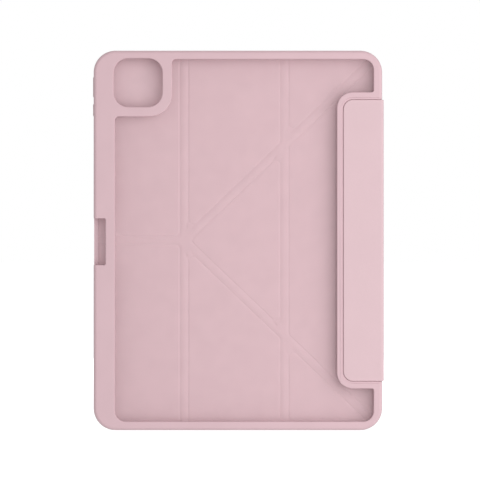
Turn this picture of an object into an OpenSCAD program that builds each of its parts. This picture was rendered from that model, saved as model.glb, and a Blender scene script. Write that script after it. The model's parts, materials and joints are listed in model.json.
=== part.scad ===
// Origami folio case for a 12.9-inch class tablet: a soft bumper frame with a clear back
// panel, and a creased cover on a flap and spine. It stands on its lower short edge.
// +X is the spine side, -Y the back, +Y the front cover, +Z up. Millimetres.

/* [Tablet] */
// Width of the tablet that the bay holds
tablet_w = 214.9; // [205:0.1:225]
// Height of the tablet
tablet_h = 280.6; // [270:0.1:290]
// Thickness of the tablet
tablet_t = 6.4; // [5.5:0.1:8]

/* [Frame] */
// Gap left round the tablet
tablet_gap = 0.3; // [0.2:0.1:0.6]
// Thickness of the long side walls
side_wall = 1.6; // [1.4:0.1:2.4]
// Thickness of the short end walls
end_wall = 3.2; // [2.4:0.1:4]
// Radius of the outer corners, seen from the back
corner_r = 16.5; // [14:0.5:20]
// Rounding of the frame's edge at the back
back_round = 2.7; // [1:0.1:2.7]
// Rounding of the frame's edge at the front
front_round = 0.6; // [0.3:0.1:1]
// Thickness of the back flange
flange_t = 1.6; // [1.4:0.1:2]
// Width of the flange along the pen side
pen_flange = 16.2; // [14:0.1:20]
// Width of the flange on the other three sides
rim_w = 6.6; // [6:0.1:9]
// Corner radius of the back window
window_r = 8; // [5:0.5:10]
// Thickness of the front lip
lip_t = 1.2; // [1:0.1:1.6]
// How far the front lip reaches over the tablet
lip_over = 1.5; // [1:0.1:2.5]

/* [Camera] */
// Side of the square camera window
camera_w = 36.8; // [32:0.2:42]
// Corner radius of the camera window
camera_r = 11; // [8:0.5:14]
// Distance from the frame's pen side to the camera window
camera_left = 15.3; // [14:0.1:18]
// Distance from the frame's top to the camera window
camera_top = 5.9; // [5:0.1:9]
// Width of the camera surround beyond the window
camera_rim = 7.3; // [5:0.1:9]

/* [Openings] */
// Length of the pen charging slot
pen_len = 35.4; // [30:0.2:42]
// Where the slot starts, from the frame's pen side
pen_in = 2.6; // [2.4:0.1:3.2]
// Where the slot ends, from the frame's pen side
pen_out = 9; // [7.5:0.1:11]
// Length of the port cut-out in the lower end
port_w = 15; // [12:0.5:20]
// Height of the port cut-out
port_t = 5.6; // [4.8:0.1:6]
// Length of each sound slot
sound_w = 26; // [16:1:34]
// Height of each sound slot
sound_t = 2.4; // [1.5:0.1:3]
// Distance from each side to the middle of a sound slot
sound_in = 60; // [58:1:80]

/* [Clear back panel] */
// Thickness of the clear panel
panel_t = 1.2; // [1:0.1:1.5]
// How far the clear panel tucks under the flange
panel_tuck = 3; // [2:0.1:3.4]

/* [Flap and spine] */
// Width of the back flap
flap_w = 29.4; // [24:0.2:36]
// Height of the flap and the spine
flap_h = 213; // [180:1:225]
// Corner radius of the flap
flap_r = 7.2; // [4:0.2:10]
// Thickness of the flap's board
flap_board_t = 0.9; // [0.7:0.1:0.9]
// Width of the raised rim beside the flap
flap_rim = 5; // [4:0.1:7]
// Width of the shallow step between the flap and its rim
flap_step = 1.7; // [1:0.1:2.4]
// Depth of that step
flap_step_t = 0.5; // [0.3:0.1:0.8]
// How far the spine stands out past the frame
spine_proud = 1.15; // [0.8:0.05:1.3]
// Thickness of the spine
spine_t = 1.8; // [1.8:0.1:2]

/* [Cover] */
// Thickness of each cover panel
cover_t = 2.4; // [2.2:0.1:3]
// Thickness of the outer skin
skin_t = 0.6; // [0.5:0.1:0.7]
// Thickness of the inner lining
lining_t = 0.4; // [0.3:0.1:0.5]
// Gap between the cover and the frame's lip
cover_gap = 0.3; // [0.2:0.1:0.6]
// Width of the pressed band along each crease
crease_w = 6.2; // [5:0.2:8]
// First crease, from the free edge
crease_outer = 68.3; // [60:0.5:74]
// Second crease, from the free edge
crease_middle = 144.7; // [138:0.5:150]

/* [Buttons] */
// How far the volume covers stand out
button_proud = 0.5; // [0.3:0.1:0.8]
// Length of the upper volume cover
volume_up_len = 15; // [8:0.5:16]
// Length of the lower volume cover
volume_down_len = 9; // [8:0.5:12]
// Length of the power cover
power_len = 14; // [8:0.5:18]

/* [Hidden] */
$fn = 64;
PANELS = ["free_edge_upper", "free_edge_lower", "middle_upper", "middle_triangle",
          "middle_lower", "spine_side_upper", "spine_side_centre", "spine_side_lower"];
WEBS = ["middle_crease_centre_web", "middle_crease_upper_web", "middle_crease_lower_web",
        "diagonal_upper_left_web", "diagonal_upper_right_web", "diagonal_lower_left_web",
        "diagonal_lower_right_web", "free_edge_level_web", "outer_crease_upper_web",
        "outer_crease_lower_web"];

rose = [0.86, 0.72, 0.75];
rose_light = [0.88, 0.76, 0.79];
rose_dark = [0.80, 0.66, 0.70];
board_grey = [0.62, 0.60, 0.58];
clear = [0.93, 0.88, 0.90, 0.35];
steel = [0.72, 0.73, 0.75];

frame_w = tablet_w + 2 * (tablet_gap + side_wall);
frame_h = tablet_h + 2 * (tablet_gap + end_wall);
bay_depth = tablet_t + 0.3;
frame_d = flange_t + panel_t + bay_depth + lip_t;
total_d = frame_d + cover_gap + cover_t;
total_w = button_proud + frame_w + spine_proud;
x_left = button_proud - total_w / 2;
x_right = x_left + frame_w;
x_out = x_right + spine_proud;
y_back = -total_d / 2;
y_front = total_d / 2;
y_floor = y_back + flange_t + panel_t;
y_lip = y_floor + bay_depth;
y_cover = y_front - cover_t;
y_mid = y_front - cover_t / 2;
z_mid = frame_h / 2;
fit = 0.1;
past = 2;

// Fold lines of the cover
x_outer = x_left + crease_outer;
x_middle = x_left + crease_middle;
diagonal = atan2(z_mid, frame_w - crease_outer);
cover_left = x_left + 0.2;
cover_right = x_right - 1;
band_half = crease_w / 2;
band_t = 0.8;
hinge_gap = 0.8;
level_gap = 1;
strip_half = 2.3;
edge_cover = 0.9;
axis_in = 0.6;
x_axis = x_out - axis_in;
flap_left = x_right - flap_w;
spine_bottom = z_mid - flap_h / 2;
surround_right = x_left + camera_left + camera_w + camera_rim;
surround_low = frame_h - camera_top - camera_w - camera_rim;
spine_end = 1.2;
hair = 0.005;

function meet(a, b) =
    let (k = a[0] * b[1] - a[1] * b[0])
    [(a[2] * b[1] - b[2] * a[1]) / k, (a[0] * b[2] - b[0] * a[2]) / k];
function pushed(line, gaps) = [line[0], line[1], line[2] - gaps[line[3]]];
function outline(lines, gaps) =
    [for (i = [0:len(lines) - 1])
        meet(pushed(lines[i], gaps), pushed(lines[(i + 1) % len(lines)], gaps))];
function through(nx, nz, kind) = [nx, nz, nx * x_outer + nz * z_mid, kind];

// Each bounding line is [normal x, normal z, offset, kind], with the normal pointing out.
// Kinds: 0 outer edge, 1 single crease, 2 double crease, 3 level crease, 4 spine edge
edge_top = [0, 1, frame_h, 0];
edge_bottom = [0, -1, 0, 0];
edge_left = [-1, 0, -cover_left, 0];
edge_right = [1, 0, cover_right, 4];
outer_from_left = [1, 0, x_outer, 2];
outer_from_right = [-1, 0, -x_outer, 2];
middle_from_left = [1, 0, x_middle, 1];
middle_from_right = [-1, 0, -x_middle, 1];
level_from_above = [0, -1, -z_mid, 3];
level_from_below = [0, 1, z_mid, 3];
rise_from_below = through(-sin(diagonal), cos(diagonal), 1);
rise_from_above = through(sin(diagonal), -cos(diagonal), 1);
fall_from_above = through(-sin(diagonal), -cos(diagonal), 1);
fall_from_below = through(sin(diagonal), cos(diagonal), 1);

function panel_lines(p) =
    p == "free_edge_upper" ? [outer_from_left, edge_top, edge_left, level_from_above] :
    p == "free_edge_lower" ? [outer_from_left, level_from_below, edge_left, edge_bottom] :
    p == "middle_upper" ? [middle_from_left, edge_top, outer_from_right, rise_from_above] :
    p == "middle_triangle" ? [middle_from_left, rise_from_below, fall_from_above] :
    p == "middle_lower" ? [middle_from_left, fall_from_below, outer_from_right, edge_bottom] :
    p == "spine_side_upper" ? [edge_top, middle_from_right, rise_from_above] :
    p == "spine_side_centre" ?
        [edge_right, rise_from_below, middle_from_right, fall_from_above] :
    [edge_bottom, fall_from_below, middle_from_right];

// A flat shape drawn in X and Z, made solid between two depths
module slab(y0, y1) {
    translate([0, y1, 0])
        rotate([90, 0, 0])
            linear_extrude(y1 - y0)
                children();
}

module rounded_rect(x0, z0, x1, z1, r) {
    translate([x0 + r, z0])
        square([x1 - x0 - 2 * r, z1 - z0]);
    translate([x0, z0 + r])
        square([x1 - x0, z1 - z0 - 2 * r]);
    for (x = [x0 + r, x1 - r], z = [z0 + r, z1 - r])
        translate([x, z])
            circle(r);
}

// The small hollow fillet that fills an inside corner at [x, z] towards [dx, dz]
module inside_fillet(x, z, dx, dz, r) {
    difference() {
        translate([min(x, x + dx * r), min(z, z + dz * r)])
            square(r);
        translate([x + dx * r, z + dz * r])
            circle(r);
    }
}

// Back window, grown by g all round, with the camera surround and the flap shelf left in
module window(g) {
    shelf_left = flap_left - flap_rim;
    shelf_low = spine_bottom - flap_rim - 0.8;
    shelf_high = frame_h - shelf_low;
    difference() {
        rounded_rect(x_left + pen_flange - g, rim_w - g,
                     x_right - rim_w + g, frame_h - rim_w + g, window_r);
        rounded_rect(x_left - 20, surround_low + g, surround_right - g, frame_h + 20, 17 - g);
        rounded_rect(shelf_left + g, shelf_low + g, x_right + 40, shelf_high - g, 12 - g);
        inside_fillet(x_left + pen_flange - g, surround_low + g, 1, -1, 3);
        inside_fillet(surround_right - g, frame_h - rim_w + g, 1, -1, 3);
        inside_fillet(x_right - rim_w + g, shelf_low + g, -1, -1, 1.5);
        inside_fillet(x_right - rim_w + g, shelf_high - g, -1, 1, 1.5);
    }
}

// Cross-section of the frame's outer edge: out from a corner's centre, and in from the back
module edge_section() {
    translate([0, back_round])
        square([corner_r, frame_d - back_round - front_round]);
    square([corner_r - back_round, frame_d]);
    translate([0, back_round])
        square([corner_r - front_round, frame_d - back_round]);
    translate([corner_r - back_round, back_round])
        circle(back_round);
    translate([corner_r - front_round, frame_d - front_round])
        circle(front_round);
}

// Stands a section's second direction along +Y
module upright_turn() {
    translate([0, y_back, 0])
        rotate([-90, 0, 0])
            children();
}

module frame_block() {
    low = corner_r;
    high = frame_h - corner_r;
    left = x_left + corner_r;
    right = x_right - corner_r;
    for (c = [[right, low, 0], [left, low, 90], [left, high, 180], [right, high, 270]])
        translate([c[0], 0, c[1]])
            upright_turn()
                rotate([0, 0, c[2]])
                    rotate_extrude(angle = 90)
                        edge_section();
    for (c = [[right, low, 0, high - low], [left, high, 180, high - low],
              [left, low, 90, right - left], [right, high, 270, right - left]])
        translate([c[0], 0, c[1]])
            upright_turn()
                rotate([0, 0, c[2]])
                    rotate([90, 0, 0])
                        linear_extrude(c[3])
                            edge_section();
    slab(y_back, y_back + frame_d)
        translate([left, low])
            square([right - left, high - low]);
}

module button_cut(length) {
    translate([0, 0, -1])
        linear_extrude(side_wall + 4)
            rounded_rect(-length / 2 - fit, -1.7, length / 2 + fit, 1.7, 1.6);
    translate([0, 0, -3])
        linear_extrude(3.6)
            rounded_rect(-length / 2 - 0.7, -2.3, length / 2 + 0.7, 2.3, 2.2);
}

// A pad that stands in its cut, with a thin retaining edge behind the wall
module button_pad(length, height) {
    linear_extrude(height)
        rounded_rect(-length / 2, -1.6, length / 2, 1.6, 1.5);
    linear_extrude(0.5)
        rounded_rect(-length / 2 - 0.6, -2.2, length / 2 + 0.6, 2.2, 2.1);
}

button_y = y_floor + tablet_t / 2;
volume_up_z = frame_h - 27.5;
volume_down_z = frame_h - 45;
power_x = x_left + 30;

// Faces a button out of the pen side, or out of the top
module on_side(z) {
    translate([x_left + side_wall, button_y, z])
        rotate([0, -90, 0])
            children();
}

module on_top(x) {
    translate([x, button_y, frame_h - side_wall])
        children();
}

module whole_frame() {
    pen_low = z_mid - 1 - pen_len / 2;
    difference() {
        frame_block();
        slab(y_back - past, y_floor - panel_t)
            window(0);
        slab(y_back + flange_t, y_floor + past)
            window(panel_tuck + fit);
        slab(y_floor, y_lip)
            rounded_rect(x_left + side_wall, end_wall,
                         x_right - side_wall, frame_h - end_wall, corner_r - 2.4);
        slab(y_lip - 1, y_front)
            rounded_rect(x_left + side_wall + lip_over, end_wall + lip_over,
                         x_right - side_wall - lip_over, frame_h - end_wall - lip_over,
                         corner_r - 3.9);
        slab(y_back - past, y_floor + past)
            rounded_rect(x_left + camera_left, frame_h - camera_top - camera_w,
                         x_left + camera_left + camera_w, frame_h - camera_top, camera_r);
        // Pen slot: a window in the flange that runs out through the side wall
        slab(y_back - past, y_floor + past)
            rounded_rect(x_left + pen_in - 2, pen_low, x_left + pen_out,
                         pen_low + pen_len, 1.2);
        translate([x_left - past, y_back - past, pen_low])
            cube([past + side_wall + 0.4, y_lip - y_back + past, pen_len]);
        // Flap recess with a step round it, and the strip along the edge where the spine lies
        slab(y_back - past, y_back + flap_step_t)
            rounded_rect(flap_left - flap_step, spine_bottom - flap_step, x_right + 40,
                         spine_bottom + flap_h + flap_step, flap_r + flap_step);
        slab(y_back - past, y_back + flap_board_t + skin_t)
            rounded_rect(flap_left - 0.4, spine_bottom - 0.4, x_right + 40,
                         spine_bottom + flap_h + 0.4, flap_r + 0.4);
        translate([x_out - spine_t - fit, y_back - past, spine_bottom - 0.4])
            cube([past + spine_t, total_d + 2 * past, flap_h + 0.8]);
        // Port and sound slots in the ends
        translate([(x_left + x_right) / 2, button_y, -past])
            linear_extrude(end_wall + 2 * past)
                rounded_rect(-port_w / 2, -port_t / 2, port_w / 2, port_t / 2, 2.6);
        for (x = [x_left + sound_in, x_right - sound_in], z = [-past, frame_h - end_wall - past])
            translate([x, button_y, z])
                linear_extrude(end_wall + 2 * past)
                    rounded_rect(-sound_w / 2, -sound_t / 2, sound_w / 2, sound_t / 2,
                                 sound_t / 2 - 0.05);
        on_side(volume_up_z)
            button_cut(volume_up_len);
        on_side(volume_down_z)
            button_cut(volume_down_len);
        on_top(power_x)
            button_cut(power_len);
        translate([power_x - power_len / 2 - 0.7, button_y - 2.3, frame_h - end_wall - 1])
            cube([power_len + 1.4, 4.6, end_wall - side_wall + 1]);
    }
}

// The frame is one moulding. Its nodes are the flange round the back window, the camera
// surround, the two side walls, and the two end walls with their corners.
module frame_part(low, high) {
    intersection() {
        whole_frame();
        translate(low)
            cube(high - low);
    }
}

frame_low = [x_left - past, y_back - past, -past];
frame_high = [x_right + past, y_floor, frame_h + past];
inner_left = x_left + corner_r;
inner_right = x_right - corner_r;
inner_low = corner_r;
inner_high = frame_h - corner_r;

module camera_surround() {
    color(rose)
        frame_part([frame_low[0], frame_low[1], surround_low],
                   [surround_right, frame_high[1], frame_high[2]]);
}

module back_flange() {
    color(rose)
        difference() {
            frame_part(frame_low, frame_high);
            translate([frame_low[0] - 1, frame_low[1] - 1, surround_low])
                cube([surround_right - frame_low[0] + 1, total_d, frame_h]);
        }
}

module pen_side_wall() {
    color(rose)
        frame_part([frame_low[0], y_floor, inner_low], [inner_left, y_front, inner_high]);
}

module spine_side_wall() {
    color(rose)
        frame_part([inner_right, y_floor, inner_low], [frame_high[0], y_front, inner_high]);
}

module port_end_wall() {
    color(rose)
        frame_part([frame_low[0], y_floor, frame_low[2]], [frame_high[0], y_front, inner_low]);
}

module camera_end_wall() {
    color(rose)
        frame_part([frame_low[0], y_floor, inner_high],
                   [frame_high[0], y_front, frame_high[2]]);
}

module clear_back_panel() {
    color(clear)
        slab(y_back + flange_t, y_floor)
            window(panel_tuck);
}

module volume_up_cover() {
    color(rose)
        on_side(volume_up_z)
            button_pad(volume_up_len, side_wall + button_proud);
}

module volume_down_cover() {
    color(rose)
        on_side(volume_down_z)
            button_pad(volume_down_len, side_wall + button_proud);
}

module power_cover() {
    color(rose)
        on_top(power_x)
            button_pad(power_len, side_wall);
}

// Flap: a board in a skin that closes over its edges, glued in the frame's recess
module flap_area(inset, right) {
    intersection() {
        rounded_rect(flap_left + inset, spine_bottom + inset, x_right + 40,
                     spine_bottom + flap_h - inset, flap_r - inset);
        translate([flap_left, spine_bottom])
            square([right - flap_left, flap_h]);
    }
}

flap_end = x_axis - hinge_gap - 1.2;

module flap_skin() {
    color(rose_light)
        difference() {
            union() {
                slab(y_back, y_back + skin_t + flap_board_t)
                    flap_area(0, flap_end);
                slab(y_back, y_back + band_t)
                    flap_area(0, x_axis - hinge_gap);
            }
            slab(y_back + skin_t, y_back + skin_t + flap_board_t + past)
                flap_area(edge_cover, flap_end - edge_cover);
        }
}

module flap_board() {
    color(board_grey)
        slab(y_back + skin_t, y_back + skin_t + flap_board_t)
            flap_area(edge_cover + 0.05, flap_end - edge_cover - 0.05);
}

// A spine layer between two distances in from the spine's outer face
module spine_layer(inner, outer, back, front, inset) {
    translate([x_out - inner, back, spine_bottom + inset])
        cube([inner - outer, front - back, flap_h - 2 * inset]);
}

spine_back = y_back + axis_in + spine_end;
spine_front = y_front - axis_in - spine_end;

module spine_skin() {
    color(rose_light)
        difference() {
            union() {
                spine_layer(spine_t - lining_t, 0, spine_back, spine_front, 0);
                spine_layer(band_t, 0, y_back + axis_in + hinge_gap,
                            y_front - axis_in - hinge_gap, 0);
            }
            spine_layer(spine_t, skin_t, spine_back + edge_cover,
                        spine_front - edge_cover, edge_cover);
        }
}

module spine_board() {
    color(board_grey)
        spine_layer(spine_t - lining_t, skin_t, spine_back + edge_cover + 0.05,
                    spine_front - edge_cover - 0.05, edge_cover + 0.05);
}

module spine_lining() {
    color(rose_dark)
        spine_layer(spine_t, spine_t - lining_t, spine_back, spine_front, 0);
}

// The bend of the skin round one long edge of the spine, as an angle section
module bend_web(y, toward) {
    translate([0, y, spine_bottom])
        linear_extrude(flap_h)
            difference() {
                translate([x_axis - hinge_gap, toward > 0 ? -hinge_gap : -axis_in])
                    square([hinge_gap + axis_in, hinge_gap + axis_in]);
                translate([x_axis - hinge_gap - 1, toward > 0 ? -hinge_gap - 1 : axis_in - band_t])
                    square([1 + hinge_gap + axis_in - band_t, 1 + hinge_gap + axis_in - band_t]);
            }
}

module flap_spine_web() {
    color(rose_light)
        bend_web(y_back + axis_in, -1);
}

module spine_cover_web() {
    color(rose_light)
        bend_web(y_front - axis_in, 1);
}

module cover_area(inset) {
    rounded_rect(cover_left + inset, inset, cover_right + 20, frame_h - inset,
                 corner_r - inset);
}

module right_cover_area(inset) {
    rounded_rect(cover_left - 20, inset, cover_right - inset, frame_h - inset,
                 corner_r - 1 - inset);
}

// Plan of a panel; gaps holds the distance kept from each kind of bounding line
module panel_area(p, gaps, inset) {
    intersection() {
        polygon(outline(panel_lines(p), gaps));
        if (search("s", p)[0] == 0) right_cover_area(inset);
        else cover_area(inset);
    }
}

module panel_skin(p) {
    full = [0, band_half, band_half, band_half, 0];
    pocket = [for (g = full) g + edge_cover];
    band = [0, hinge_gap, strip_half, level_gap, 0];
    color(rose_light)
        difference() {
            union() {
                slab(y_cover + lining_t, y_front)
                    panel_area(p, full, 0);
                slab(y_mid - band_t / 2, y_mid + band_t / 2)
                    panel_area(p, band, 0);
                if (p == "spine_side_centre")
                    slab(y_front - band_t, y_front)
                        translate([cover_right - edge_cover, spine_bottom])
                            square([x_axis - hinge_gap - cover_right + edge_cover, flap_h]);
            }
            slab(y_cover - past, y_front - skin_t)
                panel_area(p, pocket, edge_cover);
        }
}

module panel_board(p) {
    gap = edge_cover + 0.05;
    color(board_grey)
        difference() {
            slab(y_cover + lining_t, y_front - skin_t)
                panel_area(p, [gap, band_half + gap, band_half + gap, band_half + gap, gap],
                           gap);
            magnet_places(p, 0.1);
        }
}

module panel_lining(p) {
    color(rose_dark)
        slab(y_cover, y_cover + lining_t)
            panel_area(p, [0, band_half, band_half, band_half, 0], 0);
}

magnet_l = 14;
magnet_w = 5;
magnet_t = 1;

// Bar magnets let into the boards along the free edge, and one for the screen's sensor
module magnet_places(p, gap) {
    places = p == "free_edge_upper" ? [0.62, 0.72, 0.88] :
             p == "free_edge_lower" ? [0.12, 0.28, 0.38] : [];
    for (f = places)
        magnet_bar(cover_left + 9, frame_h * f, gap);
    if (p == "spine_side_centre")
        magnet_bar(cover_right - 14, z_mid, gap);
}

module magnet_bar(x, z, gap) {
    translate([x - magnet_w / 2 - gap, y_front - skin_t - magnet_t - gap,
               z - magnet_l / 2 - gap])
        cube([magnet_w + 2 * gap, magnet_t + 2 * gap, magnet_l + 2 * gap]);
}

module closure_magnets_upper() {
    color(steel)
        magnet_places("free_edge_upper", 0);
}

module closure_magnets_lower() {
    color(steel)
        magnet_places("free_edge_lower", 0);
}

module sleep_magnet() {
    color(steel)
        magnet_places("spine_side_centre", 0);
}

// A crease's bending line: the strip of bonded skin and lining between two panels
module web_strip(x, z, turn, start, end, half) {
    translate([x, y_mid, z])
        rotate([0, -turn, 0])
            translate([start, -band_t / 2, -half])
                cube([end - start, band_t, 2 * half]);
}

diagonal_cross = crease_middle - crease_outer;
diagonal_inner = diagonal_cross / cos(diagonal);
diagonal_full = (frame_w - crease_outer) / cos(diagonal);
cross_rise = diagonal_cross * tan(diagonal);

module crease_web(name) {
    color(rose_light) {
        if (name == "middle_crease_centre_web")
            web_strip(x_middle, z_mid, 90, 2.2 - cross_rise, cross_rise - 2.2, hinge_gap);
        if (name == "middle_crease_upper_web")
            web_strip(x_middle, z_mid, 90, cross_rise + 2.2, z_mid, hinge_gap);
        if (name == "middle_crease_lower_web")
            web_strip(x_middle, z_mid, -90, cross_rise + 2.2, z_mid, hinge_gap);
        if (name == "diagonal_upper_left_web")
            web_strip(x_outer, z_mid, diagonal, 4.4, diagonal_inner - 2.2, hinge_gap - hair);
        if (name == "diagonal_upper_right_web")
            web_strip(x_outer, z_mid, diagonal, diagonal_inner + 2.2,
                      diagonal_full - 9, hinge_gap - hair);
        if (name == "diagonal_lower_left_web")
            web_strip(x_outer, z_mid, -diagonal, 4.4, diagonal_inner - 2.2, hinge_gap - hair);
        if (name == "diagonal_lower_right_web")
            web_strip(x_outer, z_mid, -diagonal, diagonal_inner + 2.2,
                      diagonal_full - 9, hinge_gap - hair);
        if (name == "free_edge_level_web")
            web_strip(x_outer, z_mid, 180, strip_half, crease_outer - 0.2, level_gap);
        if (name == "outer_crease_upper_web")
            web_strip(x_outer, z_mid, 90, level_gap, z_mid, strip_half);
        if (name == "outer_crease_lower_web")
            web_strip(x_outer, z_mid, -90, level_gap, z_mid, strip_half);
    }
}

back_flange();
camera_surround();
pen_side_wall();
spine_side_wall();
port_end_wall();
camera_end_wall();
clear_back_panel();
volume_up_cover();
volume_down_cover();
power_cover();
flap_skin();
flap_board();
flap_spine_web();
spine_skin();
spine_board();
spine_lining();
spine_cover_web();
closure_magnets_upper();
closure_magnets_lower();
sleep_magnet();
for (p = PANELS) {
    panel_skin(p);
    panel_board(p);
    panel_lining(p);
}
for (w = WEBS)
    crease_web(w);
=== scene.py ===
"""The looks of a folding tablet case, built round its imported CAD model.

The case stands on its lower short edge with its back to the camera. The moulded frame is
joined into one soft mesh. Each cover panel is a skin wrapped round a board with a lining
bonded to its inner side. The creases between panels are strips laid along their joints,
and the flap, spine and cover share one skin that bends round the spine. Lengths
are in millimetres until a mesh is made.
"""

import json
import math
from collections import namedtuple

import bmesh
import bpy
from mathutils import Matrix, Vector


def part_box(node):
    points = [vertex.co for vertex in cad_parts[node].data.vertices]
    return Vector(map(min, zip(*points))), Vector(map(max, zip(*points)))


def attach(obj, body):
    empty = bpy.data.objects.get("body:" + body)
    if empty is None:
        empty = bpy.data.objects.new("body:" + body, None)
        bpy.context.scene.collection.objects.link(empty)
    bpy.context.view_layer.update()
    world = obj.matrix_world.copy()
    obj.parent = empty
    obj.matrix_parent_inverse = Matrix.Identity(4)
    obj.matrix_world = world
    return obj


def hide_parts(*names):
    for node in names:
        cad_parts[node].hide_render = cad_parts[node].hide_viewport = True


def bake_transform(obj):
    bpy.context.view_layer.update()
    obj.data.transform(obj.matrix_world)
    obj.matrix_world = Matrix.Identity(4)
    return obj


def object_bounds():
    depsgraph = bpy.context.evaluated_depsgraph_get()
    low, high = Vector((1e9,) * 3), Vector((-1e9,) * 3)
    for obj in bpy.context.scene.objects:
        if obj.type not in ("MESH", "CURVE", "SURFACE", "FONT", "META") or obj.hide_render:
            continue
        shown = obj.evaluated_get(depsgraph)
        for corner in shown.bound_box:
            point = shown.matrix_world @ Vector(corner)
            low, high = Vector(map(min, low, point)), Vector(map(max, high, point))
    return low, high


MM = 0.001

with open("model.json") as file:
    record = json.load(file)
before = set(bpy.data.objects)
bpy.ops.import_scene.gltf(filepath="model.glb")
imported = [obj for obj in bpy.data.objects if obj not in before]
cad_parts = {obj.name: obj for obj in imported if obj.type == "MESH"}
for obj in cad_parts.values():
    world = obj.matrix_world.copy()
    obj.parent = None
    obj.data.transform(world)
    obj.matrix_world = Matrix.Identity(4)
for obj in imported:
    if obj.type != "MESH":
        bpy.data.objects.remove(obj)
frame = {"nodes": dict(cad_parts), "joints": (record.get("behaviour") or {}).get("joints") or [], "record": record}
cad_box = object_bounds()

# ---------------------------------------------------------------- sizes from the frame


def low(node):
    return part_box(node)[0] / MM


def high(node):
    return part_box(node)[1] / MM


def joint_place(name):
    joint = next(j for j in frame["joints"] if j["name"] == name)
    return Vector(joint["pos_m"]) / MM


CASE_LOW, CASE_HIGH = (corner / MM for corner in cad_box)
Y_BACK, Y_FRONT = CASE_LOW.y, CASE_HIGH.y
HEIGHT = CASE_HIGH.z
Z_MID = HEIGHT / 2
X_OUT = CASE_HIGH.x
FRAME_LEFT = low("back_flange").x
FRAME_RIGHT = high("camera_end_wall").x
COVER_LEFT = low("free_edge_upper_lining").x
COVER_RIGHT = high("spine_side_centre_lining").x
Y_COVER = low("free_edge_upper_lining").y
Y_HINGE = joint_place("middle_fold").y
X_MIDDLE = joint_place("middle_fold").x
X_OUTER = (low("outer_crease_upper_web").x + high("outer_crease_upper_web").x) / 2
DIAGONAL = math.atan2(Z_MID, FRAME_RIGHT - X_OUTER)
FLAP_LEFT = low("flap_skin").x
WRAP_LOW, WRAP_HIGH = low("spine_skin").z, high("spine_skin").z

# Cover corners: the free edge follows the frame, the spine side is a little smaller
LEFT_RADIUS = 16.5
RIGHT_RADIUS = 15.5

# Crease section: a rounded band between two pressed lines, with a deep outer groove
STRIP_HALF = 2.3
BAND_CROWN = 0.2
PRESSED_AT = 3.1
PRESSED_DEPTH = 0.3
BAND_END = 4.5
GROOVE_DEPTH = 0.9
GROOVE_END = 3.6
CORNER_ROUND = 6.9

# Panel edges
EDGE_ROUND = 1.1
UNDER_ROUND = 0.4
BUTTON_ROUND = 0.35
TURN_IN = 0.34
LINING_INSET = 1.4
LINING_DEPTH = 0.38

# ---------------------------------------------------------------- camera, light and floor

LENS = 200
CAMERA_AWAY = 2019
CAMERA_SIDE = 1.27
CAMERA_RISE = 0.3
ROOM_LIGHT = 0.55

# Lamps: place in metres, width and energy. The key shines on the back, the fill on the cover
KEY_LAMP = ((0.47, -0.82, 0.17), 1.3, 8.4)
FILL_LAMP = ((-0.25, 1.1, 0.4), 1.0, 6)

# The floor's width in metres, its grey, and how strongly it glows to match the backdrop
FLOOR_WIDTH = 30
FLOOR_GREY = 0.3
FLOOR_GLOW = 0.84


def make_camera():
    data = bpy.data.cameras.new("camera")
    data.lens = LENS
    data.sensor_width = 36
    data.clip_start = 0.01
    data.clip_end = 100
    camera = bpy.data.objects.new("camera", data)
    bpy.context.scene.collection.objects.link(camera)
    camera.location = Vector((CAMERA_SIDE, Y_BACK - CAMERA_AWAY, Z_MID + CAMERA_RISE)) * MM
    camera.rotation_euler = (math.radians(90), 0, 0)
    bpy.context.scene.camera = camera


def make_area_light(name, place, size, energy):
    data = bpy.data.lights.new(name, "AREA")
    data.shape = "DISK"
    data.size = size
    data.energy = energy
    light = bpy.data.objects.new(name, data)
    bpy.context.scene.collection.objects.link(light)
    light.location = place
    aim = Vector((0, 0, Z_MID * MM)) - Vector(place)
    light.rotation_euler = aim.to_track_quat("-Z", "Y").to_euler()


def make_studio():
    world = bpy.data.worlds.new("studio")
    world.use_nodes = True
    nodes, links = world.node_tree.nodes, world.node_tree.links
    backdrop, room = nodes["Background"], nodes.new("ShaderNodeBackground")
    backdrop.inputs["Color"].default_value = (1, 1, 1, 1)
    backdrop.inputs["Strength"].default_value = 1.0
    room.inputs["Color"].default_value = (1, 1, 1, 1)
    room.inputs["Strength"].default_value = ROOM_LIGHT
    seen, pick = nodes.new("ShaderNodeLightPath"), nodes.new("ShaderNodeMixShader")
    links.new(seen.outputs["Is Camera Ray"], pick.inputs["Fac"])
    links.new(room.outputs["Background"], pick.inputs[1])
    links.new(backdrop.outputs["Background"], pick.inputs[2])
    links.new(pick.outputs["Shader"], nodes["World Output"].inputs["Surface"])
    bpy.context.scene.world = world
    bpy.context.scene.view_settings.view_transform = "Standard"
    bpy.context.scene.view_settings.look = "None"
    make_area_light("key", *KEY_LAMP)
    make_area_light("front_fill", *FILL_LAMP)


def make_floor():
    bpy.ops.mesh.primitive_plane_add(size=FLOOR_WIDTH, location=(0, 0, 0))
    floor = bpy.context.object
    floor.name = "floor"
    material = bpy.data.materials.new("pale_floor")
    material.use_nodes = True
    shader = material.node_tree.nodes["Principled BSDF"]
    shader.inputs["Base Color"].default_value = (FLOOR_GREY,) * 3 + (1,)
    shader.inputs["Roughness"].default_value = 0.9
    shader.inputs["Emission Color"].default_value = (1, 1, 1, 1)
    shader.inputs["Emission Strength"].default_value = FLOOR_GLOW
    floor.data.materials.append(material)
    floor.visible_diffuse = False
    floor.visible_shadow = False


# ---------------------------------------------------------------- materials


def linear(red, green, blue):
    """A colour given as on a screen, from 0 to 255, in the renderer's linear values."""
    channels = [c / 255 for c in (red, green, blue)]
    return [c / 12.92 if c <= 0.04045 else ((c + 0.055) / 1.055) ** 2.4 for c in channels]


def shade(colour, factor):
    return [*(min(c * factor, 1) for c in colour), 1]


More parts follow.
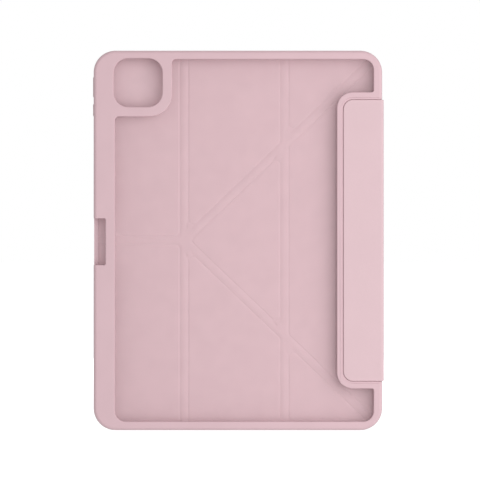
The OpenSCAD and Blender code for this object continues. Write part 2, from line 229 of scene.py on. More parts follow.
class Finish:
    """A Principled material with helpers that wire procedural detail into it."""

    def __init__(self, name, roughness, sheen=0.0, coat=0.0, metallic=0.0, specular=0.5):
        self.material = bpy.data.materials.new(name)
        self.material.use_nodes = True
        self.nodes = self.material.node_tree.nodes
        self.links = self.material.node_tree.links
        self.shader = self.nodes["Principled BSDF"]
        self.shader.inputs["Roughness"].default_value = roughness
        self.shader.inputs["Sheen Weight"].default_value = sheen
        self.shader.inputs["Sheen Roughness"].default_value = 0.5
        self.shader.inputs["Coat Weight"].default_value = coat
        self.shader.inputs["Metallic"].default_value = metallic
        self.shader.inputs["Specular IOR Level"].default_value = specular
        self.place = self.nodes.new("ShaderNodeTexCoord").outputs["Object"]
        self.normal = None

    def stretched(self, x, y, z):
        mapping = self.nodes.new("ShaderNodeMapping")
        mapping.inputs["Scale"].default_value = (x, y, z)
        self.links.new(self.place, mapping.inputs["Vector"])
        return mapping.outputs["Vector"]

    def noise(self, size, detail=2.0, vector=None, rough=0.5):
        """Noise whose features are about size millimetres across."""
        node = self.nodes.new("ShaderNodeTexNoise")
        node.inputs["Scale"].default_value = 1 / (size * MM)
        node.inputs["Detail"].default_value = detail
        node.inputs["Roughness"].default_value = rough
        self.links.new(vector or self.place, node.inputs["Vector"])
        return node.outputs["Fac"]

    def cells(self, size, vector=None):
        """Rounded cells about size millimetres across, low in the lines between them."""
        node = self.nodes.new("ShaderNodeTexVoronoi")
        node.feature = "SMOOTH_F1"
        node.inputs["Scale"].default_value = 1 / (size * MM)
        node.inputs["Smoothness"].default_value = 0.6
        self.links.new(vector or self.place, node.inputs["Vector"])
        return node.outputs["Distance"]

    # The "edge" mask: rubbed wear where the frame and skin turn paler, painted shade where the lining turns
    # darker.
    def edge_wear_and_shade(self):
        node = self.nodes.new("ShaderNodeAttribute")
        node.attribute_name = "edge"
        return node.outputs["Fac"]

    def between(self, factor, start, end, from_value, to_value):
        """Maps a factor from start..end onto from_value..to_value."""
        node = self.nodes.new("ShaderNodeMapRange")
        node.inputs["From Min"].default_value = start
        node.inputs["From Max"].default_value = end
        node.inputs["To Min"].default_value = from_value
        node.inputs["To Max"].default_value = to_value
        self.links.new(factor, node.inputs["Value"])
        return node.outputs["Result"]

    def sum(self, first, second):
        node = self.nodes.new("ShaderNodeMath")
        node.operation = "ADD"
        self.links.new(first, node.inputs[0])
        self.links.new(second, node.inputs[1])
        return node.outputs["Value"]

    def colours(self, factor, stops):
        """Base colour from a ramp: stops are (place, colour)."""
        ramp = self.nodes.new("ShaderNodeValToRGB")
        points = ramp.color_ramp.elements
        while len(points) < len(stops):
            points.new(0.5)
        for point, (place, colour) in zip(points, stops):
            point.position = place
            point.color = colour
        self.links.new(factor, ramp.inputs["Fac"])
        return ramp.outputs["Color"]

    def base(self, colour):
        self.links.new(colour, self.shader.inputs["Base Color"])

    def tint(self, colour, factor, other, amount):
        """The colour moved towards other by factor times amount."""
        node = self.nodes.new("ShaderNodeMix")
        node.data_type = "RGBA"
        scaled = self.between(factor, 0, 1, 0, amount)
        self.links.new(scaled, node.inputs["Factor"])
        self.links.new(colour, node.inputs["A"])
        node.inputs["B"].default_value = other
        return node.outputs["Result"]

    def bump(self, height, depth, strength=1.0):
        """Relief depth millimetres deep, added over any relief wired before."""
        node = self.nodes.new("ShaderNodeBump")
        node.inputs["Distance"].default_value = depth * MM
        node.inputs["Strength"].default_value = strength
        self.links.new(height, node.inputs["Height"])
        if self.normal:
            self.links.new(self.normal, node.inputs["Normal"])
        self.normal = node.outputs["Normal"]
        self.links.new(self.normal, self.shader.inputs["Normal"])

    def rough(self, value):
        self.links.new(value, self.shader.inputs["Roughness"])


LIGHT_GAIN = 0.83
FRAME_PINK = linear(225, 191, 198)
SKIN_PINK = linear(228, 196, 202)
LINING_PINK = linear(230, 199, 205)
BOARD_GREY = linear(176, 172, 166)
PLATED = linear(196, 198, 202)


def soft_frame_material():
    """Matte moulded rubber: a fine eggshell surface with faint, wide mottling."""
    finish = Finish("soft_frame", 0.62, sheen=0.08, specular=0.4)
    mottle = finish.noise(22, 3)
    colour = finish.colours(mottle, [(0.35, shade(FRAME_PINK, LIGHT_GAIN * 0.985)),
                                     (0.65, shade(FRAME_PINK, LIGHT_GAIN * 1.01))])
    colour = finish.tint(colour, finish.edge_wear_and_shade(), shade(FRAME_PINK, LIGHT_GAIN * 1.08), 0.5)
    finish.base(colour)
    grain = finish.noise(0.28, 4)
    finish.bump(grain, 0.02, 0.6)
    finish.bump(finish.noise(9, 2), 0.05, 0.3)
    finish.rough(finish.between(grain, 0.3, 0.7, 0.56, 0.68))
    return finish.material


def skin_material():
    """Fine-grained synthetic leather, a little paler along its turned edges."""
    finish = Finish("cover_skin", 0.55, sheen=0.06, specular=0.42)
    cells = finish.cells(0.55)
    pores = finish.noise(0.2, 3)
    mottle = finish.noise(30, 3)
    colour = finish.colours(mottle, [(0.35, shade(SKIN_PINK, LIGHT_GAIN * 0.985)),
                                     (0.65, shade(SKIN_PINK, LIGHT_GAIN * 1.01))])
    creases = finish.between(cells, 0.25, 0.6, 0, 1)
    colour = finish.tint(colour, creases, shade(SKIN_PINK, LIGHT_GAIN * 0.93), 0.35)
    colour = finish.tint(colour, finish.edge_wear_and_shade(), shade(SKIN_PINK, LIGHT_GAIN * 1.06), 0.5)
    finish.base(colour)
    inverted = finish.between(cells, 0, 1, 1, 0)
    finish.bump(inverted, 0.06, 0.5)
    finish.bump(pores, 0.015, 0.5)
    finish.bump(finish.noise(14, 2), 0.06, 0.25)
    finish.rough(finish.between(cells, 0.1, 0.6, 0.5, 0.66))
    return finish.material


def lining_material():
    """Brushed microfibre: short fibres lying mostly one way, with a soft sheen."""
    finish = Finish("lining", 0.86, sheen=0.22, specular=0.2)
    fibres = finish.noise(0.12, 3, finish.stretched(1, 1, 0.28))
    cloud = finish.noise(12, 4)
    both = finish.sum(finish.between(fibres, 0.2, 0.8, 0.1, 0.4),
                      finish.between(cloud, 0.3, 0.7, 0.1, 0.5))
    colour = finish.colours(both, [(0.25, shade(LINING_PINK, LIGHT_GAIN * 0.965)),
                                   (0.75, shade(LINING_PINK, LIGHT_GAIN * 1.02))])
    # Painted shade: the lining darkens towards the cover's edge, where it lies down beside the turned-in skin.
    colour = finish.tint(colour, finish.edge_wear_and_shade(), shade(LINING_PINK, LIGHT_GAIN * 0.9), 0.5)
    finish.base(colour)
    finish.bump(fibres, 0.03, 0.7)
    finish.bump(cloud, 0.12, 0.2)
    finish.rough(finish.between(fibres, 0.2, 0.8, 0.8, 0.95))
    return finish.material


def clear_panel_material():
    """Thin clear plastic: a faint pink veil, a low gloss, and hairline rub marks."""
    finish = Finish("clear_panel", 0.22, specular=0.35)
    finish.shader.inputs["Alpha"].default_value = 0.09
    rubs = finish.noise(1.4, 4, finish.stretched(0.15, 1, 1.3), 0.7)
    finish.base(finish.colours(rubs, [(0.3, shade(SKIN_PINK, 1.0)),
                                      (0.7, shade(SKIN_PINK, 1.12))]))
    finish.bump(rubs, 0.006, 0.3)
    finish.rough(finish.between(rubs, 0.4, 0.75, 0.2, 0.3))
    return finish.material


def board_material():
    """Grey pressed fibre board."""
    finish = Finish("board", 0.9, specular=0.2)
    fibres = finish.noise(0.6, 5, finish.stretched(0.4, 1, 1))
    finish.base(finish.colours(fibres, [(0.3, shade(BOARD_GREY, 0.85)),
                                        (0.7, shade(BOARD_GREY, 1.08))]))
    finish.bump(fibres, 0.04, 0.6)
    finish.rough(finish.between(fibres, 0.3, 0.7, 0.84, 0.95))
    return finish.material


def magnet_material():
    """Nickel plating with fine drawn lines."""
    finish = Finish("magnet", 0.3, metallic=1.0)
    lines = finish.noise(0.3, 3, finish.stretched(1, 1, 0.05))
    finish.base(finish.colours(lines, [(0.3, shade(PLATED, 0.86)),
                                       (0.7, shade(PLATED, 1.05))]))
    finish.bump(lines, 0.008, 0.5)
    finish.rough(finish.between(lines, 0.3, 0.7, 0.24, 0.4))
    return finish.material


MATERIALS = {
    "soft_frame": soft_frame_material(),
    "cover_skin": skin_material(),
    "lining": lining_material(),
    "clear_panel": clear_panel_material(),
    "board": board_material(),
    "magnet": magnet_material(),
}


def paint_cad_nodes():
    """Gives each carried-over CAD node the finish that the record names for it."""
    for part in frame["record"]["subparts"]:
        node = frame["nodes"][part["node"]]
        node.data.materials.clear()
        node.data.materials.append(MATERIALS[part["material_slot"]])


# ---------------------------------------------------------------- meshes

# Angles in degrees: a crisper edge than this stays sharp, or is taken for a corner to soften
SOFT_PIECE_SHARP = 50
FRAME_SHARP = 32
CORNER_ANGLE = 40


def smooth_step(value, start, end):
    t = min(max((value - start) / (end - start), 0), 1)
    return t * t * (3 - 2 * t)


def finished_object(name, bm, slot, sharp_above, edge_of):
    """An object from a bmesh in millimetres, with smooth shading and its material slot."""
    bmesh.ops.recalc_face_normals(bm, faces=bm.faces)
    mesh = bpy.data.meshes.new(name)
    values = [edge_of(v.co) for v in bm.verts]
    for vertex in bm.verts:
        vertex.co *= MM
    bm.to_mesh(mesh)
    bm.free()
    mesh.attributes.new("edge", "FLOAT", "POINT").data.foreach_set("value", values)
    mesh.shade_smooth()
    mesh.set_sharp_from_angle(angle=math.radians(sharp_above))
    mesh.materials.append(MATERIALS[slot])
    thing = bpy.data.objects.new(name, mesh)
    bpy.context.scene.collection.objects.link(thing)
    even = thing.modifiers.new("even_shading", "WEIGHTED_NORMAL")
    even.keep_sharp = True
    return thing


def lofted(loops):
    """A closed bmesh through loops of points that all have the same count."""
    bm = bmesh.new()
    rows = [[bm.verts.new(point) for point in loop] for loop in loops]
    count = len(rows[0])
    for row, following in zip(rows, rows[1:]):
        for i in range(count):
            j = (i + 1) % count
            bm.faces.new((row[i], row[j], following[j], following[i]))
    bm.faces.new(rows[0])
    bm.faces.new(rows[-1])
    return bm


# ---------------------------------------------------------------- outlines in plan

Side = namedtuple("Side", "angle normal offset kind")
CORNER_STEPS = 7
SIDE_STEPS = (0.6, 1.4, 2.4, 4.0, 7.0, 12.0)


def side(degrees, x, z, kind):
    """A bounding line through (x, z) whose outward normal points at that angle."""
    angle = math.radians(degrees)
    normal = Vector((math.cos(angle), math.sin(angle)))
    return Side(angle, normal, normal.dot(Vector((x, z))), kind)


def meeting(a, a_offset, b, b_offset):
    k = a.normal.x * b.normal.y - a.normal.y * b.normal.x
    x = (a_offset * b.normal.y - b_offset * a.normal.y) / k
    z = (a.normal.x * b_offset - b.normal.x * a_offset) / k
    return Vector((x, z))


def arc(centre, radius, start, end, steps=CORNER_STEPS):
    angles = [start + (end - start) * i / (steps - 1) for i in range(steps)]
    return [centre + radius * Vector((math.cos(t), math.sin(t))) for t in angles]


def corner_points(a, b, insets, fillet, rounding):
    """Points round the corner between two sides that follow each other anticlockwise."""
    turn = (b.angle - a.angle) % math.tau
    start, end = a.angle, a.angle + turn
    a_offset = a.offset - insets[a.kind]
    b_offset = b.offset - insets[b.kind]
    if a.kind == b.kind == "edge":
        radius = max(rounding(a, b) - insets["edge"], 0.02)
        centre = meeting(a, a_offset - radius, b, b_offset - radius)
        return arc(centre, radius, start, end)
    rim, crease = (a, b) if a.kind == "edge" else (b, a)
    if rim.kind == "edge":
        fillet = min(fillet, 0.05 + insets["edge"])
        clipped = clipped_corner(rim, crease, insets, start, end, rim is a)
        if clipped:
            return clipped
    centre = meeting(a, a_offset - fillet, b, b_offset - fillet)
    return arc(centre, fillet, start, end)


def clipped_corner(rim, crease, insets, start, end, rim_first):
    """Where a crease runs into a rounded corner of the cover, or None if it misses it."""
    corner = meeting(rim, rim.offset, crease, crease.offset)
    if corner.x < COVER_RIGHT - RIGHT_RADIUS:
        return None
    up = 1 if corner.y > Z_MID else -1
    centre = Vector((COVER_RIGHT - RIGHT_RADIUS, Z_MID + up * (Z_MID - RIGHT_RADIUS)))
    radius = RIGHT_RADIUS - insets["edge"]
    reach = crease.offset - insets[crease.kind] - crease.normal.dot(centre)
    if abs(reach) >= radius:
        return None
    swing = math.acos(reach / radius)
    if rim_first:
        return arc(centre, radius, start, end - swing) if end - swing > start else None
    return arc(centre, radius, start + swing, end) if start + swing < end else None


def outline(sides, insets, fillet, rounding=lambda a, b: LEFT_RADIUS):
    """A closed loop of plan points, with the same count for any insets."""
    corners = []
    for a, b in zip(sides, sides[1:] + sides[:1]):
        corners.append(corner_points(a, b, insets, fillet, rounding))
    points = []
    for before, after in zip(corners[-1:] + corners[:-1], corners):
        start, end = before[-1], after[0]
        length = (end - start).length
        steps = [min(step, 0.42 * length * step / SIDE_STEPS[-1]) for step in SIDE_STEPS]
        places = [step / length for step in steps]
        places += [1 - place for place in reversed(places)]
        points += [start.lerp(end, place) for place in places] + after
    return points


# ---------------------------------------------------------------- cover panels

RISE = math.degrees(DIAGONAL)

PANEL_SIDES = {
    "free_edge_upper": [side(0, X_OUTER, 0, "crease"), side(90, 0, HEIGHT, "edge"),
                        side(180, COVER_LEFT, 0, "edge"), side(270, 0, Z_MID, "closure")],
    "middle_upper": [side(0, X_MIDDLE, 0, "closure"), side(90, 0, HEIGHT, "edge"),
                     side(180, X_OUTER, 0, "crease"),
                     side(270 + RISE, X_OUTER, Z_MID, "crease")],
    "middle_triangle": [side(0, X_MIDDLE, 0, "crease"),
                        side(90 + RISE, X_OUTER, Z_MID, "crease"),
                        side(270 - RISE, X_OUTER, Z_MID, "crease")],
    "spine_side_upper": [side(90, 0, HEIGHT, "edge"), side(180, X_MIDDLE, 0, "closure"),
                         side(270 + RISE, X_OUTER, Z_MID, "crease")],
    "spine_side_centre": [side(0, COVER_RIGHT, 0, "edge"),
                          side(90 + RISE, X_OUTER, Z_MID, "crease"),
                          side(180, X_MIDDLE, 0, "crease"),
                          side(270 - RISE, X_OUTER, Z_MID, "crease")],
}

# Insets of the loops across a face, from its rim inwards, for each kind of side
FACE_EDGE = (0.02, 0.06, 0.13, 0.24, 0.4, 0.6, 0.85, 1.15, 1.5, 1.9, 2.4, 3.5, 6, 11)
FACE_CREASE = (2.3, 2.45, 2.6, 2.75, 2.9, 3.1, 3.3, 3.5, 3.75, 4.0, 4.25, 4.6, 6, 11)
FACE_CLOSURE = (0.02, 0.8, 1.6, 2.2, 2.7, 3.1, 3.3, 3.5, 3.75, 4.0, 4.25, 4.6, 6, 11)
FACE_FILLET = (0.05, 1.0, 1.9, 2.7, 3.3, 3.8, 3.6, 3.4, 3.15, 2.9, 2.65, 2.4, 4, 5)
# Down the side and under it: inset at the rim, and share of the way from face to underside
WRAP_LOOPS = ((1.7, 1.0), (0.4, 1.0), (0.18, 0.92), (0.05, 0.78), (0.0, 0.6), (0.0, 0.06))
NOSE_STEPS = 6


def crease_distance(sides, x, z, rounded=True):
    """Distance to the nearest crease line, if rounded with the panel's corners eased."""
    near = sorted((s.offset - s.normal.x * x - s.normal.y * z, i)
                  for i, s in enumerate(sides) if s.kind != "edge")
    if not rounded or len(near) < 2 or near[0][0] <= 0:
        return near[0][0]
    (least, first), (second_least, second) = near[:2]
    a, b = CORNER_ROUND - least, CORNER_ROUND - second_least
    lean = sides[first].normal.dot(sides[second].normal)
    if b <= 0 or a < b * lean or b < a * lean:
        return least
    reach = math.sqrt((a * a + b * b - 2 * a * b * lean) / (1 - lean * lean))
    return max(CORNER_ROUND - reach, 0)


def cover_distance(x, z):
    """The crease distance anywhere on the cover, taken in the panel that holds the point."""
    z = Z_MID + abs(z - Z_MID)

    def inside(sides):
        return min(s.offset - s.normal.x * x - s.normal.y * z
                   for s in sides if s.kind != "edge")

    return crease_distance(max(PANEL_SIDES.values(), key=inside), x, z)


def cover_inset(x, z):
    """How far inside the cover's rounded outline a point lies."""
    radius = LEFT_RADIUS if x < 0 else RIGHT_RADIUS
    across = min(x - COVER_LEFT, COVER_RIGHT - x)
    along = min(z, HEIGHT - z)
    if across < radius and along < radius:
        return radius - math.hypot(radius - across, radius - along)
    return min(across, along)


def edge_drop(inset, radius):
    """How far a rounded edge falls away at that inset."""
    if inset >= radius:
        return 0.0
    return radius - math.sqrt(max(radius * radius - (radius - inset) ** 2, 0))


def groove(distance):
    return GROOVE_DEPTH * (1 - smooth_step(distance, STRIP_HALF, GROOVE_END))


def band(distance):
    """Height of the lining over its panel, across a crease."""
    if distance < PRESSED_AT:
        fall = BAND_CROWN + PRESSED_DEPTH
        return BAND_CROWN - fall * (max(distance, 0) / PRESSED_AT) ** 2
    return -PRESSED_DEPTH * (1 - smooth_step(distance, PRESSED_AT, BAND_END))


def outer_depth(distance, inset):
    return Y_FRONT - groove(distance) - edge_drop(inset, EDGE_ROUND)


def lining_depth(distance, inset):
    settle = 1 - smooth_step(inset, LINING_INSET, LINING_INSET + 0.5)
    return Y_COVER - band(distance) + (TURN_IN + 0.02) * settle


def face_insets(i, start=0.0):
    return {"edge": start + FACE_EDGE[i], "crease": FACE_CREASE[i],
            "closure": FACE_CLOSURE[i]}


def panel_skin(sides):
    """The skin: outer face, rounded side, and the edge turned in under the lining."""
    loops = []
    rim = outline(sides, face_insets(0), FACE_FILLET[0])
    top = [outer_depth(crease_distance(sides, *p, False), cover_inset(*p)) for p in rim]
    under = Y_COVER + TURN_IN
    for k, (inset, share) in enumerate(WRAP_LOOPS):
        spread = 0.3 if k == 0 else 0.0
        insets = {"edge": inset, "crease": FACE_CREASE[0] + spread,
                  "closure": FACE_CLOSURE[0] + spread}
        plan = outline(sides, insets, FACE_FILLET[0])
        loops.append([(x, y + (under - y) * share, z) for (x, z), y in zip(plan, top)])
    for i in range(len(FACE_EDGE)):
        plan = outline(sides, face_insets(i), FACE_FILLET[i])
        loops.append([(x, outer_depth(crease_distance(sides, x, z, False),
                                      cover_inset(x, z)), z) for x, z in plan])
    return lofted(loops)


def panel_lining(sides):
    """The lining, with a rounded nose past each crease that closes without a joint."""
    loops = []
    nose = Y_HINGE - (Y_COVER - band(0))
    floor_y = Y_COVER + LINING_DEPTH

    def add(closure, edge, crease, fillet, depth):
        insets = {"edge": LINING_INSET + edge, "crease": crease, "closure": closure}
        loops.append([(x, depth(x, z), z) for x, z in outline(sides, insets, fillet)])

    def resting(x, z):
        distance = crease_distance(sides, x, z)
        if distance >= 0:
            return lining_depth(distance, cover_inset(x, z))
        return Y_HINGE - math.sqrt(max(nose * nose - distance * distance, 0))

    def inner(x, z):
        buried = smooth_step(crease_distance(sides, x, z), 0.6, -0.9)
        return floor_y + (Y_HINGE - floor_y) * buried

    add(1.5, 0.3, FACE_CREASE[0] + 0.1, 0.3, lambda x, z: floor_y)
    add(0.5, 0.1, FACE_CREASE[0] + 0.02, 0.1, lambda x, z: floor_y)
    add(-0.95, 0.0, FACE_CREASE[0], 0.05, inner)
    for k in range(NOSE_STEPS):
        turn = math.pi / 2 * (1 - k / NOSE_STEPS)
        tiny = 0.0002 * (k + 1)
        add(-nose * math.sin(turn), tiny, FACE_CREASE[0] + tiny, 0.05 + tiny, resting)
    for i in range(len(FACE_EDGE)):
        insets = face_insets(i, LINING_INSET)
        plan = outline(sides, insets, FACE_FILLET[i])
        loops.append([(x, resting(x, z), z) for x, z in plan])
    return lofted(loops)


def mirrored(bm):
    """The same mesh turned upside down, for the lower half of the cover."""
    for vertex in bm.verts:
        vertex.co.z = HEIGHT - vertex.co.z
    return bm


def cover_edge(point):
    """1 on the outer edge of the cover, fading to 0 a few millimetres in."""
    return 1 - smooth_step(cover_inset(point.x, point.z), 0.2, 2.6)


PANEL_BODY = {
    "free_edge_upper": "cover_edge_upper",
    "middle_upper": "cover_middle_upper",
    "middle_triangle": "cover_triangle",
    "spine_side_upper": "cover_upper_corner",
    "spine_side_centre": "cover_spine_side",
}
CLOSURE_WEBS = {
    "free_edge_upper": ["free_edge_level_web"],
    "spine_side_upper": ["middle_crease_upper_web"],
    "spine_side_lower": ["middle_crease_lower_web"],
}


def swap_half(name):
    return name.replace("upper", "lower")


def make_panel(name, sides, body, lower):
    for layer, build, slot in (("skin", panel_skin, "cover_skin"),
                               ("lining", panel_lining, "lining")):
        bm = build(sides)
        if lower:
            mirrored(bm)
        piece = finished_object(f"{name}_{layer}_soft", bm, slot, SOFT_PIECE_SHARP, cover_edge)
        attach(piece, body)
        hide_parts(f"{name}_{layer}")
        if layer == "skin":
            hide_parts(*CLOSURE_WEBS.get(name, []))


def make_panels():
    for name, sides in PANEL_SIDES.items():
        body = PANEL_BODY[name]
        make_panel(name, sides, body, False)
        if "upper" in name:
            make_panel(swap_half(name), sides, swap_half(body), True)


# ---------------------------------------------------------------- crease strips

ACROSS = 16
NODE_STEPS = (0, 1.5, 3, 4.5, 6, 7.2, 8.5, 10, 11.5, 13, 14, 15, 16, 17.1, 20)
LAYER_STEP = 0.004
RIM_STEPS = (0.02, 0.08, 0.2, 0.4, 0.7, 1.1, 1.6, 2.4, 4, 8)


def strip_stations(length, rim):
    """Places along a strip, close together at its ends."""
    ends = RIM_STEPS if rim else NODE_STEPS
    return sorted({*(s for s in NODE_STEPS), *(length - s for s in ends)})


def crease_strip(layer, start, degrees, length, rim, span, deeper):
    """A strip along a crease. Rim says that it ends at the cover's edge."""
    angle = math.radians(degrees)
    along = Vector((math.cos(angle), math.sin(angle)))
    left = Vector((-along.y, along.x))
    stop = length - (LINING_INSET if rim and layer == "lining" else 0)
    widths = [span[0] + (span[1] - span[0]) * i / ACROSS for i in range(ACROSS + 1)]
    under = Y_COVER + (LINING_DEPTH if layer == "lining" else TURN_IN)
    loops = []
    for t in strip_stations(stop, rim):
        inset = length - t if rim else BAND_END
        centre = Vector(start) + along * t
        near = [cover_distance(*(centre + left * s)) for s in widths]
        if layer == "lining":
            face = [lining_depth(d, inset) + deeper for d in near]
        else:
            face = [outer_depth(d, inset) - deeper for d in near]
        below = under + (edge_drop(inset, UNDER_ROUND) if layer == "skin" else 0)
        shown = [(*(centre + left * s), y) for s, y in zip(widths, face)]
        hidden = [(*(centre + left * s), below) for s in reversed(widths)]
        loops.append([(x, y, z) for x, z, y in shown + hidden])
    return lofted(loops)


def bend_between(piece, bodies, place, toward, start, end):
    """Bakes a strip's placement into its mesh; start and end, distances along toward, are not used."""
    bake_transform(piece)


BLEND_HALF = 1.8
OUTER_BLEND = (0.6, STRIP_HALF)
CROSS_RISE = (X_MIDDLE - X_OUTER) * math.tan(DIAGONAL)
INNER_LENGTH = (X_MIDDLE - X_OUTER) / math.cos(DIAGONAL)


def corner_crossing():
    """Distance along the rising crease from its start to the cover's rounded corner."""
    line = side(90 + RISE, X_OUTER, Z_MID, "crease")
    centre = Vector((COVER_RIGHT - RIGHT_RADIUS, HEIGHT - RIGHT_RADIUS))
    reach = line.offset - line.normal.dot(centre)
    half_chord = math.sqrt(RIGHT_RADIUS**2 - reach**2)
    along = Vector((math.cos(DIAGONAL), math.sin(DIAGONAL)))
    return along.dot(centre - Vector((X_OUTER, Z_MID))) + half_chord


def add_strip(web, start, degrees, length, rim, bodies, blend_from, span, lower, part=""):
    """Both layers of one strip; blend_from gives a start and end across it, which bend_between does not use."""
    angle = math.radians(degrees)
    left = Vector((-math.sin(angle), math.cos(angle)))
    up = -1 if lower else 1
    # Strips overlap where creases meet, so each direction lies a hair deeper than the last
    deeper = LAYER_STEP * (degrees / 90 + (0.25 if lower else 0))
    for layer, slot in (("skin", "cover_skin"), ("lining", "lining")):
        bm = crease_strip(layer, start, degrees, length, rim, span, deeper)
        if lower:
            mirrored(bm)
        name = f"{web.removesuffix('_web')}{part}_{layer}"
        piece = finished_object(name, bm, slot, SOFT_PIECE_SHARP, cover_edge)
        place = (start[0], Z_MID + up * (start[1] - Z_MID))
        bend_between(piece, bodies, place, (left.x, up * left.y), *blend_from)
        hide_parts(web)


def make_strips():
    full = (-STRIP_HALF, STRIP_HALF)
    across = (-BLEND_HALF, BLEND_HALF)
    mirrored_blend = tuple(-place for place in OUTER_BLEND)
    node = (X_OUTER, Z_MID)
    crossing = (X_MIDDLE, Z_MID + CROSS_RISE)
    add_strip("middle_crease_centre_web", (X_MIDDLE, Z_MID - CROSS_RISE), 90,
              2 * CROSS_RISE, False, ("cover_spine_side", "cover_triangle"), across, full,
              False)
    for lower in (False, True):
        half = swap_half if lower else str
        add_strip(half("diagonal_upper_left_web"), node, RISE, INNER_LENGTH, False,
                  ("cover_triangle", half("cover_middle_upper")), across, full, lower)
        add_strip(half("diagonal_upper_right_web"), crossing, RISE,
                  corner_crossing() - INNER_LENGTH, True,
                  ("cover_spine_side", half("cover_upper_corner")), across, full, lower)
        # The crease near the free edge is two strips, one on each side of its middle
        crease = half("outer_crease_upper_web")
        add_strip(crease, node, 90, HEIGHT - Z_MID, True,
                  (half("outer_crease_upper"), half("cover_edge_upper")), OUTER_BLEND,
                  (0, STRIP_HALF), lower, "_edge_side")
        add_strip(crease, node, 90, HEIGHT - Z_MID, True,
                  (half("outer_crease_upper"), half("cover_middle_upper")), mirrored_blend,
                  (-STRIP_HALF, 0), lower, "_middle_side")


# ---------------------------------------------------------------- flap, spine and bends

BEND_RADIUS = 2.0
WRAP_THICK = 1.45
BEND_CUTS = 10
SEAM_FROM_FRONT = 2.2
OVER_PANEL = 5.0
FLAP_RADIUS = 7.2


def flat_plate(length, corners, edge_round, thick):
    """A plate with rounded edges, lying from 0 to length along X, facing up along Y."""
    sides = [side(0, length, 0, "edge"), side(90, 0, WRAP_HIGH, "edge"),
             side(180, 0, 0, "edge"), side(270, 0, WRAP_LOW, "edge")]
    first, last = corners

    def rounding(a, b):
        at_start = math.pi / 2 < (a.angle + b.angle) / 2 < 1.45 * math.pi
        return first if at_start else last

    steps = 5
    loops = []
    places = [(3.0, -thick), (0.3, -thick), (0.06, -thick + 0.1), (0.0, -thick + 0.25)]
    for k in range(steps + 1):
        turn = math.pi / 2 * k / steps
        places.append((edge_round * (1 - math.cos(turn)),
                       -edge_round * (1 - math.sin(turn))))
    places += [(edge_round + 0.4, 0.0), (3.0, 0.0)]
    for inset, up in places:
        plan = outline(sides, {"edge": inset}, 0.1, rounding)
        loops.append([(x, up, z) for x, z in plan])
    return lofted(loops)


def cut_along(bm, places):
    for place in places:
        everything = bm.verts[:] + bm.edges[:] + bm.faces[:]
        bmesh.ops.bisect_plane(bm, geom=everything, plane_co=(place, 0, 0),
                               plane_no=(1, 0, 0), dist=1e-5)


def bent(bm, straight, radius, corner_place, first, second):
    """Bends a plate through a right angle.

    It runs along first for the straight length, turns on the radius, and goes on along
    second. corner_place is where the plate's outer face would have its sharp corner.
    """
    quarter = radius * math.pi / 2
    cut_along(bm, [straight + quarter * k / BEND_CUTS for k in range(BEND_CUTS + 1)])
    corner = Vector(corner_place)
    centre = corner - first * radius + second * radius
    for vertex in bm.verts:
        u, up, z = vertex.co
        if u <= straight:
            plan = corner - first * (radius + straight - u) - second * up
        elif u <= straight + quarter:
            turn = (u - straight) / radius
            spoke = first * math.sin(turn) - second * math.cos(turn)
            plan = centre + spoke * (radius + up)
        else:
            plan = corner + second * (radius + u - straight - quarter) + first * up
        vertex.co = (plan.x, plan.y, z)
    return bm


def wrap_edge(point):
    """1 at the upper and lower ends of the wrap and round its two bends."""
    ends = 1 - smooth_step(min(point.z - WRAP_LOW, WRAP_HIGH - point.z), 0.2, 2.0)
    to_bend = min(abs(point.y - Y_BACK), abs(point.y - Y_FRONT))
    bends = 1 - smooth_step(abs(X_OUT - point.x) + to_bend, 0.6, 2.4)
    return max(ends, bends)


def make_wrap():
    right, forward = Vector((1, 0)), Vector((0, 1))
    quarter = BEND_RADIUS * math.pi / 2
    back_straight = X_OUT - BEND_RADIUS - FLAP_LEFT
    spine_length = Y_FRONT - SEAM_FROM_FRONT - (Y_BACK + BEND_RADIUS)
    plate = flat_plate(back_straight + quarter + spine_length, (FLAP_RADIUS, 0.6), 0.5,
                       WRAP_THICK)
    bent(plate, back_straight, BEND_RADIUS, (X_OUT, Y_BACK), right, forward)
    wrap = finished_object("flap_and_spine_skin", plate, "cover_skin", SOFT_PIECE_SHARP,
                           wrap_edge)
    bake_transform(wrap)
    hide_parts("flap_skin", "flap_spine_web", "spine_skin")

    start = Y_FRONT - SEAM_FROM_FRONT + 0.02
    front_y = Y_FRONT + 0.03
    straight = front_y - BEND_RADIUS - start
    plate = flat_plate(straight + quarter + OVER_PANEL, (0.3, 1.2), 0.3, 1.1)
    bent(plate, straight, BEND_RADIUS, (X_OUT, front_y), forward, -right)
    bend = finished_object("spine_cover_bend", plate, "cover_skin", SOFT_PIECE_SHARP,
                           wrap_edge)
    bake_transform(bend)
    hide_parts("spine_cover_web")


def make_spine_lining():
    """A lining strip on the spine's inner face, with softly rounded edges."""
    back, front = low("spine_lining").y, high("spine_lining").y
    inner, outer = low("spine_lining").x, high("spine_lining").x
    sides = [side(0, front, 0, "edge"), side(90, 0, WRAP_HIGH, "edge"),
             side(180, back, 0, "edge"), side(270, 0, WRAP_LOW, "edge")]
    thick = outer - inner
    places = [(0.6, 0.0), (0.02, 0.0)]
    for turn in (0, 0.25, 0.5, 0.75, 1):
        angle = math.pi / 2 * turn
        places.append((0.3 * (1 - math.cos(angle)), thick - 0.3 * (1 - math.sin(angle))))
    places += [(0.9, thick), (2.0, thick)]
    loops = []
    for inset, up in places:
        plan = outline(sides, {"edge": inset}, 0.1, lambda a, b: 2.2)
        loops.append([(outer - up, y, z) for y, z in plan])
    strip = finished_object("spine_lining_soft", lofted(loops), "lining", SOFT_PIECE_SHARP,
                            lambda point: 0.0)
    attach(strip, "spine")
    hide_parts("spine_lining")


# ---------------------------------------------------------------- moulded frame

FRAME_NODES = ["back_flange", "camera_surround", "pen_side_wall", "spine_side_wall",
               "port_end_wall", "camera_end_wall"]
WINDOW_SOFTENING = 0.8
RECESS_SOFTENING = 0.3
FLAP_MARGIN = 3


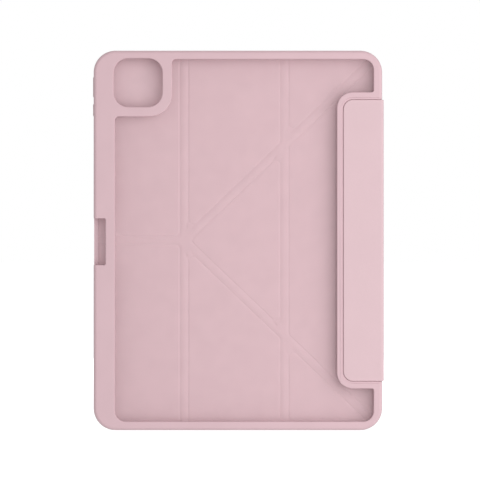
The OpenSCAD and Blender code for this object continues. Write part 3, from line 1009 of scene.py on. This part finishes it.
def joined_frame():
    """The frame's nodes united into the one moulding that they are, in millimetres."""
    pieces = []
    for name in FRAME_NODES:
        bm = bmesh.new()
        bm.from_mesh(frame["nodes"][name].data)
        bmesh.ops.remove_doubles(bm, verts=bm.verts, dist=1e-7)
        mesh = bpy.data.meshes.new(name)
        bm.to_mesh(mesh)
        bm.free()
        piece = bpy.data.objects.new("joining_" + name, mesh)
        bpy.context.scene.collection.objects.link(piece)
        pieces.append(piece)
    for piece in pieces[1:]:
        union = pieces[0].modifiers.new("join", "BOOLEAN")
        union.operation = "UNION"
        union.solver = "EXACT"
        union.object = piece
    graph = bpy.context.evaluated_depsgraph_get()
    mesh = bpy.data.meshes.new_from_object(pieces[0].evaluated_get(graph))
    for piece in pieces:
        bpy.data.objects.remove(piece)
    bm = bmesh.new()
    bm.from_mesh(mesh)
    for vertex in bm.verts:
        vertex.co /= MM
    bmesh.ops.remove_doubles(bm, verts=bm.verts, dist=0.005)
    bmesh.ops.dissolve_limit(bm, angle_limit=math.radians(1), verts=bm.verts,
                             edges=bm.edges)
    return bm


def soften(bm, wanted, offset, segments):
    edges = [e for e in bm.edges if len(e.link_faces) == 2
             and e.calc_face_angle() > math.radians(CORNER_ANGLE) and wanted(e)]
    bmesh.ops.bevel(bm, geom=edges, offset=offset, segments=segments, profile=0.5,
                    affect="EDGES", clamp_overlap=False)


def on_back(edge):
    return all(abs(v.co.y - Y_BACK) < 0.01 for v in edge.verts)


def by_flap(edge):
    middle = (edge.verts[0].co + edge.verts[1].co) / 2
    beside = WRAP_LOW - FLAP_MARGIN < middle.z < WRAP_HIGH + FLAP_MARGIN
    return middle.x > FLAP_LEFT - FLAP_MARGIN and beside


def frame_edge(point):
    """1 along the frame's outer edge at the back, fading inwards."""
    across = min(point.x - FRAME_LEFT, FRAME_RIGHT - point.x)
    along = min(point.z, HEIGHT - point.z)
    if across < LEFT_RADIUS and along < LEFT_RADIUS:
        inset = LEFT_RADIUS - math.hypot(LEFT_RADIUS - across, LEFT_RADIUS - along)
    else:
        inset = min(across, along)
    return 1 - smooth_step(inset, 0.3, 2.2)


def make_frame():
    bm = joined_frame()
    soften(bm, lambda e: on_back(e) and not by_flap(e), WINDOW_SOFTENING, 4)
    soften(bm, by_flap, RECESS_SOFTENING, 3)
    moulding = finished_object("bumper_frame", bm, "soft_frame", FRAME_SHARP, frame_edge)
    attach(moulding, "shell")
    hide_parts(*FRAME_NODES)


def soften_buttons():
    for name in ("volume_up_cover", "volume_down_cover", "power_cover"):
        bevel = frame["nodes"][name].modifiers.new("soft_edges", "BEVEL")
        bevel.width = BUTTON_ROUND * MM
        bevel.segments = 4
        bevel.limit_method = "ANGLE"
        bevel.angle_limit = math.radians(CORNER_ANGLE)


# ---------------------------------------------------------------- everything

make_camera()
make_studio()
make_floor()
paint_cad_nodes()
make_frame()
soften_buttons()
make_panels()
make_strips()
make_wrap()
make_spine_lining()
